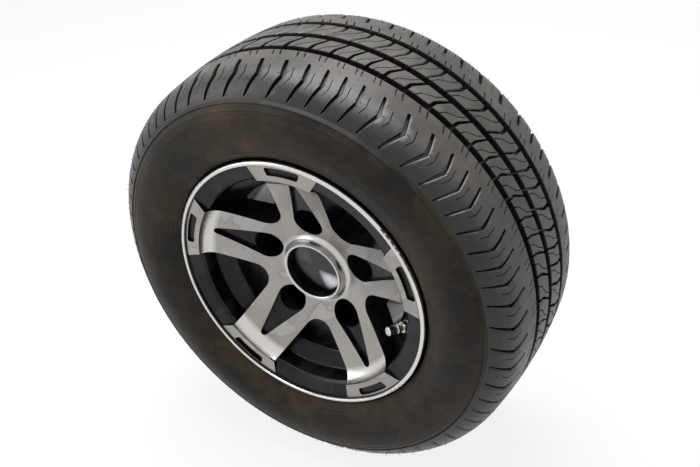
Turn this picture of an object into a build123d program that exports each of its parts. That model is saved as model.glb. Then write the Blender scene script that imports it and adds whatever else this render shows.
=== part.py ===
from build123d import *
import os
from math import asin, atan2, cos, pi, radians, sin, sqrt, tan

# A ten inch cast alloy wheel with its tyre, centre cap and tyre valve.
# Millimetres. The wheel turns about the Y axis and its face looks along -Y.
# The origin is on the axis, midway between the two rim flanges, and +Z is up.
# A "depth" is measured backwards from the plane of the front lip.

# Rim: the seats that the tyre sits on
bead_seat_d = 253.2
bead_width = 152.4
flange_t = 15.3
flange_h = 16.9
seat_w = 14.0
seat_taper = 1.2
hump_h = 0.8
rim_wall = 5.5
well_r = 108.5
well_front_depth = 27.3
well_back_depth = 98.0
wall_tilt = 31.0
ledge_r = 119.0
ledge_depth = 118.0
flange_edge_r = 7.0
flange_edge_w = 5.0
flange_foot_r = 2.0
seat_corner_r = 1.4
seat_run_in = 1.8
hump_w = 1.5
hump_fall = 1.4
well_foot_r = 2.0
well_turn_r = 6.0
wall_top_r = 4.0
back_edge_r = 3.0
lip_round = 3.0
lip_crest_w = 1.6
lip_step = 1.9
lip_step_w = 1.1
lip_step_r = 0.3
lip_edge_r = 0.8
lip_land = 0.4
seat_foot = 0.6
hump_foot_round = 1.2
ledge_fall = 2.0

# Rim: the turned face
ring_depth = 3.0
band_sink = 0.8
band_inner_r = 123.3
band_slope = 3.2
band_lip = 3.0
band_corner_r = 1.2
ring_inner_r = 121.6
step_depth = 14.3
step_run = 11.6
root_r = 42.0
root_depth = 40.6
face_sag = 1.0
hub_rim_depth = 31.0
cap_bore_d = 60.8
hub_rim_w = 1.9
hub_rim_edge = 0.7
hub_rim_outer_edge = 1.3
boss_fillet_w = 6.6
boss_fillet_h = 3.0
step_foot = 1.6
ring_edge = 0.3
ring_root_t = 2.5

# Rim: spokes, windows and pockets
spoke_count = 5
first_spoke = 90.0
spoke_half_w = 29.5
sector_flare = 10.2
window_corner_r = 18.0
sector_corner_r = 2.0
spoke_t = 27.0
spoke_root_t = 6.0
spoke_back_drop = 13.0
slot_outer_r = 136.0
slot_w = 8.6
slot_half_w = 20.5
slot_taper = 3.6
slot_sink = 2.8
slot_corner_r = 2.4
pocket_tip_r = 4.0
pocket_tip_at = 108.5
pocket_sink = 4.0

# Rim: hub
bolt_circle_d = 114.3
bolt_hole_d = 14.6
bolt_socket_d = 32.0
nut_seat_d = 22.0
nut_seat_half_angle = 30.0
bolt_seat_t = 14.0
hub_face_depth = 91.5
hub_bore_d = 67.1
hub_bore_len = 30.0
cap_room_d = 69.0
cap_room_len = 7.0
pad_r = 77.0
pad_edge = 2.5
pad_draft = 2.0
hub_bore_edge = 0.6
cap_neck_d = 57.8
cap_neck_len = 8.5

# Tyre
tyre_od = 466.4
crown_r = 500.0
tread_t = 14.5
shoulder_r = 35.6
shoulder_at = 61.5
rib_drop = 27.4
rib_w = 2.6
rib_h = 0.9
section_w = 202.0
bulge_drop = 52.6
bulge_upper_arc = 40.0
lower_gap = 2.0
lower_depth = 4.5
side_t = 9.5
bead_t = 13.6
bead_toe_r = 129.0
bead_side_t = 14.0
heel_edge = 2.6
toe_edge = 2.0
toe_lift = 0.6
toe_slope = 0.8
lower_edge = 2.0
liner_side_len = 3.5
liner_shoulder = 3.0
liner_sag = 0.9
fit_gap = 0.1
flange_gap = 1.6

# Tread: three grooves round the tyre, placed from the rim centre plane
groove_depth = 7.4
groove_draft = 0.9
near_groove_at = -30.1
near_groove_w = 8.2
mid_groove_at = -0.5
mid_groove_w = 9.0
far_groove_at = 33.0
far_groove_w = 9.0

# Tread: pitches in the order they come past, short, middle and long
pitch_order = "SSSSMMLLLLMSSSMLLMSSMMSSMLLMLMSSSM" + "LLMSSMLLLMMSMLLMSMLMSSMLSMLMSM"
pitch_length = {"S": 4.65, "M": 5.68, "L": 6.75}
first_pitch = 145.5
far_shift = 9.1
cross_groove_w = 2.4
cross_groove_depth = 6.6
cross_groove_lean = 0.49
cross_overrun = 1.5

# Tread: bent grooves of the shoulders
bent_top_at = -52.0
bent_knee_at = -73.0
bent_foot_at = -89.5
bent_top_w = 3.6
bent_knee_w = 4.6
bent_foot_w = 1.6
bent_top_shift = 7.7
bent_foot_shift = 9.6
bent_depth = 4.6
bent_foot_depth = 1.8

# Centre cap
cap_clear = 0.25
cap_flange_t = 2.6
cap_plate_d = 57.4
cap_plate_depth = 41.5
cap_plate_t = 1.2
cap_plate_crown = 0.9
cap_plate_rim = 1.3
cap_plate_edge = 0.9
cap_plate_grip = 0.05
cap_flange_edge = 0.5
cap_leg_t = 2.2
cap_leg_w = 12.0
cap_leg_count = 6
cap_hook = 1.2
cap_hook_t = 2.2
cap_hook_edge = 0.6
cap_lead_in = 0.8
cap_wire_d = 1.6
cap_wire_nest = 0.4
cap_wire_clear = 0.02
cap_wire_turn = 336.0

# Tyre valve: heights are measured along its own axis from the inside of the rim wall
valve_angle = 342.0
valve_r = 113.3
valve_hole_d = 11.3
washer_seat_d = 16.4
stem_d = 7.7
stem_top = 21.4
stem_head_d = 17.0
stem_head_t = 2.4
stem_collar_d = 9.8
stem_collar_low = 10.2
stem_collar_t = 3.4
stem_bore_d = 5.2
stem_throat_d = 3.0
stem_throat_top = 3.0
stem_edge = 0.6
stem_collar_edge = 0.5
grommet_t = 3.0
grommet_d = 15.2
grommet_sleeve_low = 0.4
washer_d = 13.4
washer_t = 1.5
washer_edge = 0.3
nut_flat_w = 11.0
nut_t = 5.0
nut_edge_h = 0.8
nut_edge_w = 0.5
valve_cap_d = 9.5
valve_cap_low = 14.2
valve_cap_top = 23.6
valve_cap_slot_d = 5.6
valve_cap_slot_depth = 1.0
valve_cap_edge = 0.6
valve_cap_flutes = 20
valve_cap_flute_r = 0.42
valve_cap_flute_out = 0.12
valve_cap_flute_low = 1.2
valve_cap_flute_top = 1.6
cap_thread_clear = 0.15
cap_seal_t = 0.9
cap_seal_edge = 0.1
cap_seal_gap = 0.03

# Valve core, inside the stem
core_plug_top = 20.6
core_plug_len = 3.6
core_slot_w = 0.9
core_slot_depth = 0.8
core_barrel_len = 7.0
core_barrel_d = 4.2
core_barrel_wall = 0.7
core_gasket_len = 2.0
core_gasket_up = 1.5
core_gasket_clear = 0.02
core_pin_d = 1.2
core_pin_top = 21.0
core_pin_clear = 0.06
core_pin_tail = 1.6
core_cup_d = 3.4
core_cup_t = 1.4
core_cup_wall = 0.25
core_cup_seal_t = 0.7
core_spring_wire = 0.3
core_spring_clear = 0.12
core_spring_turns = 6
core_collar_d = 2.4
core_collar_t = 0.6

# Worked out
seat_r = bead_seat_d / 2
lip_r = seat_r + flange_h
rim_half = bead_width / 2 + flange_t
rim_depth = 2 * rim_half
barrel_r = seat_r - rim_wall - 0.5
well_inner_r = well_r - rim_wall
ring_outer_r = lip_r - lip_round - lip_crest_w - lip_step_w
band_end_depth = ring_depth + band_sink + band_slope
step_r = ring_inner_r - step_run
step_end_depth = ring_depth + step_depth
cap_bore_r = cap_bore_d / 2
cap_neck_r = cap_neck_d / 2
hub_bore_r = hub_bore_d / 2
bolt_r = bolt_circle_d / 2
socket_r = bolt_socket_d / 2
spoke_step = 360 / spoke_count
cap_room_r = cap_room_d / 2
cap_room_depth = hub_face_depth - hub_bore_len
cap_shelf_depth = cap_room_depth - cap_room_len - cap_neck_len
tyre_r = tyre_od / 2
rib_r = tyre_r - rib_drop
bulge_r = tyre_r - bulge_drop
lower_r = lip_r + lower_gap
section_half = section_w / 2
groove_floor_r = tyre_r - groove_depth


def axial(depth):
    """Y of a depth behind the plane of the front lip."""
    return depth - rim_half


def turned(*line_objects):
    """Solid of revolution about the wheel axis, from its half section in the XY plane."""
    edges = [edge for line in line_objects for edge in line.edges()]
    return revolve(make_face(edges), Axis.Y)


def rounded_section(corners):
    """Closed outline from (radius, depth, corner radius) rows."""
    points = [(r, axial(d)) for r, d, _ in corners]
    return FilletPolyline(*points, radius=[c for _, _, c in corners], close=True)


def around(angle, radius=0.0, y=0.0):
    """Place on a spoke line: local X points outwards, local Z points to the front."""
    a = radians(angle)
    outwards = (cos(a), 0, sin(a))
    return Plane(origin=(radius * cos(a), y, radius * sin(a)), x_dir=outwards, z_dir=(0, -1, 0))


def prism(sketch, angle, front, back):
    """Sketch drawn on a spoke line, carried from one depth to a deeper one."""
    placed = around(angle, 0, axial(back)) * sketch
    return extrude(placed, amount=back - front)


def spoke_angles():
    """The direction of each spoke, as seen from the front."""
    return [first_spoke + spoke_step * i for i in range(spoke_count)]


# Rim barrel

def well_wall(offset, radius):
    """Depth at a radius on the sloping front wall of the well, offset from its inside towards the tyre."""
    tilt = radians(wall_tilt)
    return well_front_depth + (barrel_r - radius) * tan(tilt) + offset / cos(tilt)


def barrel_section():
    """Half section of the barrel: both flanges, both seats and the well between them."""
    inner_seat_r = seat_r - seat_taper
    hump_foot_r = inner_seat_r - hump_fall
    back_flange_depth = rim_depth - flange_t
    back_seat_depth = back_flange_depth - seat_w
    outer = [
        (lip_r, lip_round + lip_land, 0.0),
        (lip_r, flange_t - flange_edge_r, flange_edge_r * 0.9),
        (lip_r - flange_edge_r, flange_t, flange_foot_r),
        (seat_r + seat_foot, flange_t, seat_corner_r),
        (seat_r, flange_t + seat_run_in, 0.0),
        (inner_seat_r, flange_t + seat_w, 0.0),
        (inner_seat_r + hump_h, flange_t + seat_w + hump_w, 0.0),
        (hump_foot_r, well_wall(rim_wall, hump_foot_r), hump_foot_round),
        (well_r, well_wall(rim_wall, well_r), well_foot_r),
        (well_r, well_back_depth, well_turn_r),
        (ledge_r, ledge_depth, well_turn_r),
        (hump_foot_r, back_seat_depth - hump_w - 2 * hump_fall, hump_foot_round),
        (inner_seat_r + hump_h, back_seat_depth - hump_w, 0.0),
        (inner_seat_r, back_seat_depth, 0.0),
        (seat_r, back_flange_depth - seat_run_in, 0.0),
        (seat_r + seat_foot, back_flange_depth, seat_corner_r),
        (lip_r - flange_edge_r, back_flange_depth, flange_foot_r),
        (lip_r, back_flange_depth + flange_edge_r, flange_edge_r * 0.9),
        (lip_r, rim_depth, back_edge_r),
    ]
    back_inner_r = seat_r - rim_wall
    inner = [
        (back_inner_r + back_edge_r / 2, rim_depth, back_edge_r),
        (back_inner_r, rim_depth - flange_edge_w, back_edge_r),
        (back_inner_r, back_seat_depth, well_turn_r),
        (ledge_r - rim_wall, ledge_depth + ledge_fall, well_turn_r),
        (well_inner_r, well_back_depth + ledge_fall, well_turn_r),
        (well_inner_r, well_wall(0, well_inner_r), wall_top_r),
        (barrel_r, well_wall(0, barrel_r), wall_top_r),
        (barrel_r, band_end_depth + band_lip, band_lip - 1.0),
        (band_inner_r, band_end_depth, band_corner_r),
        (ring_outer_r, ring_depth + band_sink, 0.0),
        (ring_outer_r, lip_step, lip_step_r),
        (ring_outer_r + lip_step_w, lip_step / 2, lip_step_r),
        (ring_outer_r + lip_step_w + lip_land, 0.0, lip_edge_r),
        (lip_r, 0.0, lip_round),
    ]
    return rounded_section(outer + inner)


def disc_section():
    """Half section of the hub, the dished spoke face and the ring at the spoke ends."""
    face_slope = (root_depth - step_end_depth) / (step_r - root_r)
    face_mid_r = (root_r + step_r) / 2
    face_mid_depth = (root_depth + step_end_depth) / 2 + face_sag
    rim_top_r = cap_bore_r + hub_rim_edge + hub_rim_w
    boss_foot_r = rim_top_r + boss_fillet_w
    boss_foot_depth = root_depth + (root_r - boss_foot_r) * face_slope
    front = Polyline(
        (cap_bore_r, axial(cap_shelf_depth)),
        (cap_bore_r, axial(hub_rim_depth + hub_rim_edge)),
        (cap_bore_r + hub_rim_edge, axial(hub_rim_depth)),
        (rim_top_r, axial(hub_rim_depth)),
        (rim_top_r + hub_rim_outer_edge / 2, axial(hub_rim_depth + hub_rim_outer_edge)),
    )
    boss = ThreePointArc(
        front @ 1,
        (rim_top_r + boss_fillet_w / 3, axial(boss_foot_depth - boss_fillet_h)),
        (boss_foot_r, axial(boss_foot_depth)),
    )
    collar = Line(boss @ 1, (root_r, axial(root_depth)))
    dish = ThreePointArc(collar @ 1, (face_mid_r, axial(face_mid_depth)), (step_r, axial(step_end_depth)))
    step = ThreePointArc(
        dish @ 1,
        (ring_inner_r - step_run * 0.32, axial(ring_depth + step_depth * 0.55)),
        (ring_inner_r - ring_edge, axial(ring_depth + step_foot)),
    )
    mid_wall_r = well_inner_r + rim_wall / 2
    mid_wall_depth = well_wall(rim_wall / 2, mid_wall_r)
    outer_wall_r = seat_r - rim_wall * 0.75
    spoke_back_depth = step_end_depth + spoke_t + spoke_root_t
    back = Polyline(
        step @ 1,
        (ring_inner_r, axial(ring_depth)),
        (ring_outer_r, axial(ring_depth)),
        (ring_outer_r, axial(ring_depth + band_sink + ring_root_t)),
        (outer_wall_r + 1.0, axial(band_end_depth + band_lip + 0.5)),
        (outer_wall_r, axial(well_wall(rim_wall / 2, outer_wall_r))),
        (mid_wall_r, axial(mid_wall_depth)),
        (mid_wall_r, axial(spoke_back_depth)),
        (pad_r + pad_draft, axial(spoke_back_depth + spoke_back_drop)),
        (pad_r, axial(hub_face_depth - pad_edge)),
        (pad_r - pad_edge, axial(hub_face_depth)),
        (hub_bore_r + hub_bore_edge, axial(hub_face_depth)),
        (hub_bore_r, axial(hub_face_depth - hub_bore_edge)),
        (hub_bore_r, axial(cap_room_depth)),
        (cap_room_r, axial(cap_room_depth)),
        (cap_room_r, axial(cap_room_depth - cap_room_len)),
        (cap_neck_r, axial(cap_room_depth - cap_room_len)),
        (cap_neck_r, axial(cap_shelf_depth)),
        (cap_bore_r, axial(cap_shelf_depth)),
    )
    return [front, boss, collar, dish, step, back]


def window_sketch():
    """Opening between two spokes, drawn with its middle on local X."""
    half = radians(spoke_step / 2)
    outer_r = ring_outer_r + 0.2
    sector_half = spoke_half_w + sector_flare
    corners = []
    for along, side in (
        (sqrt(outer_r ** 2 - sector_half ** 2), sector_half),
        (sqrt(ring_inner_r ** 2 - spoke_half_w ** 2), spoke_half_w),
    ):
        corners.append((along * cos(half) + side * sin(half), along * sin(half) - side * cos(half)))
    vertex = (spoke_half_w / sin(half), 0)
    (ax, ay), (bx, by) = corners
    outline = Polyline((ax, -ay), (bx, -by), vertex, (bx, by), (ax, ay))
    rim_arc = ThreePointArc((ax, ay), (outer_r, 0), (ax, -ay))
    opening = make_face([*outline.edges(), rim_arc])
    inner_corner = opening.vertices().sort_by(Axis.X)[0]
    opening = fillet(inner_corner, window_corner_r)
    outer_corners = opening.vertices().sort_by(Axis.X)[-2:]
    return fillet(outer_corners, sector_corner_r)


def slot_sketch():
    """Shallow slot in a ring sector, wider at its outer edge."""
    inner_r = slot_outer_r - slot_w
    inner_half = slot_half_w - slot_taper
    outer_x = sqrt(slot_outer_r ** 2 - slot_half_w ** 2)
    inner_x = sqrt(inner_r ** 2 - inner_half ** 2)
    outer_arc = ThreePointArc((outer_x, -slot_half_w), (slot_outer_r, 0), (outer_x, slot_half_w))
    side = Line(outer_arc @ 1, (inner_x, inner_half))
    inner_arc = ThreePointArc(side @ 1, (inner_r, 0), (inner_x, -inner_half))
    close = Line(inner_arc @ 1, outer_arc @ 0)
    slot = make_face([outer_arc, side, inner_arc, close])
    return fillet(slot.vertices(), slot_corner_r)


def pocket_sketch():
    """Long drop-shaped pocket: round the bolt socket at its inner end, narrow at its tip."""
    run = pocket_tip_at - bolt_r
    lean = asin((socket_r - pocket_tip_r) / run)
    touch = [
        (bolt_r + socket_r * sin(lean), socket_r * cos(lean)),
        (pocket_tip_at + pocket_tip_r * sin(lean), pocket_tip_r * cos(lean)),
    ]
    (ax, ay), (bx, by) = touch
    tip = ThreePointArc((bx, by), (pocket_tip_at + pocket_tip_r, 0), (bx, -by))
    root = ThreePointArc((ax, -ay), (bolt_r - socket_r, 0), (ax, ay))
    return make_face([Line((ax, ay), (bx, by)), tip, Line((bx, -by), (ax, -ay)), root])


def pocket_cutter(angle):
    """Drop-shaped pocket with a floor that runs level with the dished face above it."""
    slope = atan2(root_depth - step_end_depth, step_r - root_r)
    column = prism(pocket_sketch(), angle, 0, hub_face_depth)
    mid_depth = (root_depth + step_end_depth) / 2 + face_sag + pocket_sink
    mid_r = (root_r + step_r) / 2
    floor = around(angle, mid_r, axial(mid_depth))
    tilted = Plane(
        origin=floor.origin,
        x_dir=floor.x_dir,
        z_dir=floor.z_dir * cos(slope) - floor.x_dir * sin(slope),
    )
    return split(column, bisect_by=tilted, keep=Keep.TOP)


def bolt_cutter(angle):
    """Socket, cone seat and through hole for one wheel bolt or nut."""
    seat_depth = hub_face_depth - bolt_seat_t
    cone_h = (nut_seat_d - bolt_hole_d) / 2 / tan(radians(nut_seat_half_angle))
    at = around(angle, bolt_r, axial(hub_face_depth + 1.0))
    hole = extrude(at * Circle(bolt_hole_d / 2), amount=bolt_seat_t + cone_h + 2.0)
    at_seat = around(angle, bolt_r, axial(seat_depth + cone_h))
    cone = extrude(at_seat * Circle(bolt_hole_d / 2), amount=cone_h, taper=-nut_seat_half_angle)
    at_socket = around(angle, bolt_r, axial(seat_depth))
    socket = extrude(at_socket * Circle(socket_r), amount=seat_depth)
    return hole + cone + socket


def build_wheel():
    """The whole cast wheel as one solid."""
    disc = turned(*disc_section())
    window = window_sketch()
    slot = slot_sketch()
    cutters = []
    slots = []
    for angle in spoke_angles():
        cutters.append(prism(window, angle + spoke_step / 2, -1, hub_face_depth + 1))
        cutters.append(pocket_cutter(angle))
        cutters.append(bolt_cutter(angle))
        slots.append(prism(slot, angle, -1, ring_depth + slot_sink))
    wheel = disc.cut(*cutters).fuse(turned(barrel_section()))
    hole = standing(valve_hole_d / 2, -2 * rim_wall, 2 * rim_wall)
    washer_seat = standing(washer_seat_d / 2, 0, rim_wall)
    place = valve_place()
    return wheel.cut(place * hole, place * washer_seat, *slots)


# Tyre body

def crown_edge():
    """Radius at which the flat crown arc ends and the shoulder arc begins."""
    return tyre_r - crown_r + sqrt(crown_r ** 2 - shoulder_at ** 2)


def shoulder_centre():
    """Centre of the front shoulder arc, as radius and Y."""
    lean = shoulder_at / crown_r
    return crown_edge() - shoulder_r * sqrt(1 - lean ** 2), -shoulder_at + shoulder_r * lean


def surface_r(y):
    """Radius of the ungrooved tread and shoulder at a distance from the centre plane."""
    y = abs(y)
    if y < shoulder_at:
        return tyre_r - crown_r + sqrt(crown_r ** 2 - y ** 2)
    centre_r, centre_y = shoulder_centre()
    return centre_r + sqrt(shoulder_r ** 2 - (-y - centre_y) ** 2)


def arc_between(start, end, centre):
    """Short arc about a centre, in the half section."""
    mid = (Vector(*start) + Vector(*end)) * 0.5 - Vector(*centre)
    radius = (Vector(*start) - Vector(*centre)).length
    return ThreePointArc(start, Vector(*centre) + mid.normalized() * radius, end)


def tyre_side():
    """Front half of the tyre's half section, from the crown round the bead to the liner."""
    crown_end = (crown_edge(), -shoulder_at)
    crown = ThreePointArc((tyre_r, 0), (surface_r(shoulder_at / 2), -shoulder_at / 2), crown_end)
    centre_r, centre_y = shoulder_centre()
    rib_out = rib_r + rib_w / 2
    rib_in = rib_r - rib_w / 2
    shoulder_end = (rib_out, centre_y - sqrt(shoulder_r ** 2 - (rib_out - centre_r) ** 2))
    shoulder = arc_between(crown_end, shoulder_end, (centre_r, centre_y))
    bulge_y = -section_half + bulge_upper_arc
    side_start = (rib_in, bulge_y - sqrt(bulge_upper_arc ** 2 - (rib_in - bulge_r) ** 2))
    rib = Polyline(
        shoulder_end,
        (rib_r + rib_w / 4, shoulder_end[1] - rib_h),
        (rib_r - rib_w / 4, side_start[1] - rib_h),
        side_start,
    )
    widest = (bulge_r, -section_half)
    upper = arc_between(side_start, widest, (bulge_r, bulge_y))
    drop = axial(lower_depth) + section_half
    lower_arc = ((bulge_r - lower_r) ** 2 + drop ** 2) / (2 * drop)
    lower_end = (lower_r, axial(lower_depth))
    lower = arc_between(widest, lower_end, (bulge_r, -section_half + lower_arc))
    gap_r = lip_r + flange_gap
    bead_y = axial(flange_t + fit_gap)
    heel_r = seat_r + fit_gap
    toe_y = axial(flange_t + bead_t)
    bead = Polyline(
        lower_end,
        (gap_r, axial(lower_depth + lower_edge)),
        (gap_r, axial(flange_t - flange_edge_r + 1.0)),
        (lip_r - flange_edge_r + 1.5 * flange_gap, bead_y),
        (heel_r + heel_edge, bead_y),
        (heel_r + fit_gap, bead_y + heel_edge),
        (heel_r, toe_y - toe_edge),
        (heel_r + toe_lift, toe_y),
        (bead_toe_r, toe_y + toe_slope),
        (lower_r + 4.0, axial(lower_depth + bead_side_t)),
    )
    liner_r = tyre_r - tread_t
    liner_corner = (liner_r - liner_side_len, -shoulder_at - liner_shoulder)
    liner = ThreePointArc(bead @ 1, (bulge_r, -section_half + side_t), liner_corner)
    under_tread = ThreePointArc(liner_corner, (liner_r - liner_sag, -shoulder_at / 2), (liner_r, 0))
    return [crown, shoulder, rib, upper, lower, bead, liner, under_tread]


def tyre_section():
    """Half section of the tyre with its three grooves."""
    edges = [edge for line in tyre_side() for edge in line.edges()]
    mirrored = [edge.mirror(Plane.XZ) for edge in edges]
    section = make_face(edges + mirrored)
    for place, width in (
        (near_groove_at, near_groove_w),
        (mid_groove_at, mid_groove_w),
        (far_groove_at, far_groove_w),
    ):
        half = width / 2
        floor_half = half - groove_draft
        outline = Polyline(
            (tyre_r + 2, place - half),
            (surface_r(place), place - half),
            (groove_floor_r, place - floor_half),
            (groove_floor_r, place + floor_half),
            (surface_r(place), place + half),
            (tyre_r + 2, place + half),
            (tyre_r + 2, place - half),
        )
        section -= make_face(outline)
    return section


# Tread blocks and shoulder grooves

def pitch_angles():
    """Angle of the start of each pitch, going clockwise as seen from the front."""
    unit = 360 / sum(pitch_length[letter] for letter in pitch_order)
    angles = []
    angle = first_pitch
    for letter in pitch_order:
        angles.append(angle)
        angle -= pitch_length[letter] * unit
    return angles


def tread_plane(angle, turned_round=False):
    """Plane across a radius: local X runs clockwise, local Y backwards and local Z outwards."""
    a = radians(angle)
    clockwise = Vector(sin(a), 0, -cos(a))
    if turned_round:
        clockwise = clockwise * -1
    return Plane(origin=(0, 0, 0), x_dir=clockwise, z_dir=(cos(a), 0, sin(a)))


def cross_groove(low, high):
    """Slanting groove across one row of blocks, drawn about its low end."""
    start, end = low - cross_overrun, high + cross_overrun
    lean = cross_groove_lean * (end - start)
    half = cross_groove_w / 2
    outline = Polyline((-half, start), (half, start), (half + lean, end), (lean - half, end), (-half, start))
    floor = surface_r(high) - cross_groove_depth
    return extrude(Plane.XY.offset(floor) * make_face(outline), amount=tyre_r + 3 - floor)


def bent_groove():
    """Groove of the front shoulder: down the shoulder to a knee, then back to the rib."""
    plan = Polyline(
        (-bent_top_shift - bent_top_w / 2, bent_top_at),
        (-bent_top_shift + bent_top_w / 2, bent_top_at),
        (bent_knee_w / 2, bent_knee_at),
        (-bent_foot_shift + bent_foot_w / 2, bent_foot_at),
        (-bent_foot_shift - bent_foot_w / 2, bent_foot_at),
        (-bent_knee_w / 2, bent_knee_at),
        (-bent_top_shift - bent_top_w / 2, bent_top_at),
    )
    column = extrude(make_face(plan), amount=tyre_r + 4)
    side = Polyline(
        (bent_top_at, surface_r(bent_top_at) - bent_depth),
        (bent_knee_at, surface_r(bent_knee_at) - bent_depth),
        (bent_foot_at, surface_r(bent_foot_at) - bent_foot_depth),
        (bent_foot_at, tyre_r + 4),
        (bent_top_at, tyre_r + 4),
        (bent_top_at, surface_r(bent_top_at) - bent_depth),
    )
    side_plane = Plane(origin=(-4 * bent_foot_shift, 0, 0), x_dir=(0, 1, 0), z_dir=(1, 0, 0))
    slab = extrude(side_plane * make_face(side), amount=8 * bent_foot_shift)
    return column & slab


def build_tyre():
    """The tyre as one moulded piece, with its blocks and shoulder grooves."""
    body = revolve(tyre_section(), Axis.Y)
    near_row = (near_groove_at + near_groove_w / 2, mid_groove_at - mid_groove_w / 2)
    far_row = (-far_groove_at + far_groove_w / 2, -mid_groove_at - mid_groove_w / 2)
    near_cross = cross_groove(*near_row)
    near_cross = near_cross.moved(Location((-cross_groove_lean * cross_overrun, 0, 0)))
    far_cross = cross_groove(*far_row)
    far_cross = far_cross.moved(Location((-cross_groove_lean * cross_overrun, 0, 0)))
    bend = bent_groove()
    cutters = []
    for angle in pitch_angles():
        near = tread_plane(angle).location
        far = tread_plane(angle - far_shift, True).location
        cutters.append(near_cross.moved(near))
        cutters.append(bend.moved(near))
        cutters.append(far_cross.moved(far))
        cutters.append(bend.moved(far))
    return body.cut(*cutters)


# Centre cap

def build_cap_body():
    """Push-in cap body: a flange on the shelf of the bore, and sprung legs that hook behind it."""
    flange_r = cap_bore_r - cap_clear
    shelf = axial(cap_shelf_depth)
    flange_front = shelf - cap_flange_t
    leg_r = cap_neck_r - cap_clear
    neck_back = shelf + cap_neck_len
    seat_front = axial(cap_plate_depth) + cap_plate_t
    hub = turned(Polyline(
        (0, flange_front), (0, shelf), (flange_r, shelf),
        (flange_r, flange_front + cap_flange_edge), (flange_r - cap_flange_edge, flange_front),
        (0, flange_front),
    ))
    platform_r = cap_plate_d / 2 - cap_plate_rim
    root = flange_front + cap_flange_t / 2
    platform = turned(Polyline(
        (0, root), (0, seat_front), (platform_r, seat_front), (platform_r, root), (0, root),
    ))
    leg_inner_r = leg_r - cap_leg_t
    hook_front = neck_back + cap_clear
    legs_ring = turned(Polyline(
        (leg_inner_r, root),
        (leg_inner_r, hook_front + cap_hook_t),
        (leg_r - cap_lead_in, hook_front + cap_hook_t),
        (leg_r + cap_hook, hook_front + cap_hook_edge),
        (leg_r + cap_hook, hook_front),
        (leg_r, hook_front),
        (leg_r, root),
        (leg_inner_r, root),
    ))
    nest_r = leg_inner_r + cap_wire_d * cap_wire_nest
    nest_front, nest_back = cap_wire_y() - cap_wire_d / 2, cap_wire_y() + cap_wire_d / 2
    groove = turned(Polyline(
        (leg_inner_r - cap_leg_t, nest_front),
        (nest_r, nest_front),
        (nest_r, nest_back),
        (leg_inner_r - cap_leg_t, nest_back),
        (leg_inner_r - cap_leg_t, nest_front),
    ))
    gates = []
    gate_w = 2 * pi * leg_r / cap_leg_count - cap_leg_w
    gate_len = cap_neck_len + 2 * cap_hook_t
    for i in range(cap_leg_count):
        place = around(first_spoke + (i + 0.5) * 360 / cap_leg_count, leg_r, shelf)
        gates.append(place * Pos(0, 0, -gate_len / 2) * Box(5 * cap_leg_t, gate_w, gate_len))
    legs = legs_ring.cut(groove, *gates)
    return hub.fuse(platform, legs)


def cap_wire_y():
    """Y of the spring wire inside the legs of the cap."""
    return axial(cap_shelf_depth + cap_neck_len) - 1.2 * cap_wire_d


def build_cap_wire():
    """Open spring ring that presses the legs of the cap outwards."""
    nest_r = cap_neck_r - cap_clear - cap_leg_t + cap_wire_d * cap_wire_nest
    ring_r = nest_r - cap_wire_d / 2 - cap_wire_clear
    centre = Plane(origin=(0, cap_wire_y(), 0), x_dir=(1, 0, 0), z_dir=(0, -1, 0))
    path = centre * CenterArc((0, 0), ring_r, (360 - cap_wire_turn) / 2, cap_wire_turn)
    profile = Plane(origin=path @ 0, z_dir=path % 0) * Circle(cap_wire_d / 2)
    return sweep(profile, path=path)


def build_cap_plate():
    """Bright pressed plate, slightly crowned, with its rim turned down over the platform."""
    plate_r = cap_plate_d / 2
    front = axial(cap_plate_depth)
    inner_r = plate_r - cap_plate_rim + cap_plate_grip
    back = axial(cap_shelf_depth) - cap_flange_t
    centre_y = front - cap_plate_crown
    outside = ThreePointArc(
        (0, centre_y),
        (plate_r / 2, centre_y + cap_plate_crown * 0.24),
        (plate_r - cap_plate_edge, front - cap_plate_edge / 9),
    )
    edge = Polyline(
        outside @ 1,
        (plate_r, front + cap_plate_edge - 0.2),
        (plate_r, back),
        (inner_r, back),
        (inner_r, front + cap_plate_t),
        (0, front + cap_plate_t),
        (0, centre_y),
    )
    return turned(outside, edge)


# Tyre valve

def valve_place():
    """Plane of the valve seat on the inside of the well wall, its Z along the valve."""
    a = radians(valve_angle)
    tilt = radians(wall_tilt)
    outwards = Vector(cos(a), 0, sin(a))
    direction = outwards * -sin(tilt) + Vector(0, -cos(tilt), 0)
    across = outwards * cos(tilt) + Vector(0, -sin(tilt), 0)
    origin = outwards * valve_r + Vector(0, axial(well_wall(0, valve_r)), 0)
    return Plane(origin=origin, x_dir=across, z_dir=direction)


def standing(radius, low, high):
    """Upright cylinder between two heights."""
    return Pos(0, 0, (low + high) / 2) * Cylinder(radius, high - low)


def pipe(outer_r, inner_r, low, high):
    """Upright tube between two heights."""
    return standing(outer_r, low, high) - standing(inner_r, low - 1, high + 1)


def grommet_low():
    """Height of the underside of the rubber seal, on the air side of the rim."""
    return -rim_wall - grommet_t


def build_stem():
    """Valve stem: a head on the air side, a shank through the rim and a collar under the cap."""
    low = grommet_low() - stem_head_t
    head = chamfer(standing(stem_head_d / 2, low, grommet_low()).edges().group_by(Axis.Z)[0], stem_edge)
    shank = standing(stem_d / 2, grommet_low() - stem_edge, stem_top)
    collar_top = stem_collar_low + stem_collar_t
    collar = standing(stem_collar_d / 2, stem_collar_low, collar_top)
    collar = chamfer(collar.edges().filter_by(GeomType.CIRCLE), stem_collar_edge)
    body = head.fuse(shank, collar)
    bore = standing(stem_bore_d / 2, stem_throat_top, stem_top + 1)
    throat = standing(stem_throat_d / 2, low - 1, stem_throat_top + 1)
    return body.cut(bore, throat)


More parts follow.
